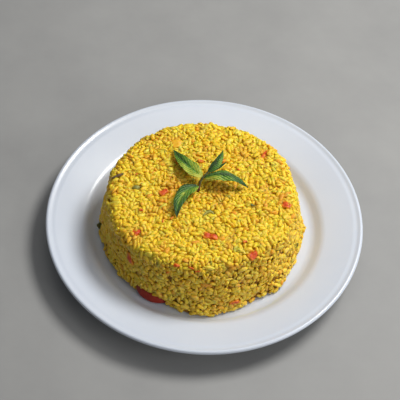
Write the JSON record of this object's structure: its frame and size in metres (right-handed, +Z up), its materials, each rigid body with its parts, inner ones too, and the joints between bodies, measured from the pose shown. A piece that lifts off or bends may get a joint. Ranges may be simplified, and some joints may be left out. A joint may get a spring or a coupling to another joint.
{
  "type": "curry rice",
  "caption": "Round moulded heap of yellow curry rice with bits of pepper, carrot and herb and a mint sprig on top, on a round white dinner plate.",
  "frame": {"origin": "on the table under the middle of the plate's foot ring", "axes": "+Z up, the plate's own axis; the side of the food nearest the viewer in the picture faces -Y"},
  "size_m": [0.26, 0.26, 0.076],
  "materials": {
    "porcelain": "smooth clear glaze, cool white",
    "rice": "cooked grains, golden yellow, moist satin",
    "pepper": "cooked red pepper, wet skin",
    "carrot": "cooked carrot, moist",
    "herb": "cooked green, dull",
    "dry_herb": "dark dry stalk",
    "mint": "fresh leaf, satin, veined",
    "mint_stem": "fresh stem, brown below and green above"
  },
  "bodies": {
    "root": {"bean_piece": "herb", "carrot_dice": "carrot", "green_slice": "herb", "herb_piece": "herb", "herb_stick": "dry_herb", "mint_leaf_back": "mint", "mint_leaf_back_left": "mint", "mint_leaf_front_left": "mint", "mint_leaf_right": "mint", "mint_leaf_tip": "mint", "mint_stem": "mint_stem", "pepper_dice_1": "pepper", "pepper_dice_2": "pepper", "pepper_dice_3": "pepper", "pepper_dice_4": "pepper", "pepper_dice_5": "pepper", "pepper_dice_6": "pepper", "pepper_dice_7": "pepper", "pepper_dice_8": "pepper", "pepper_strip": "pepper", "plate": "porcelain", "rice_heap": "rice"}
  },
  "joints": []
}
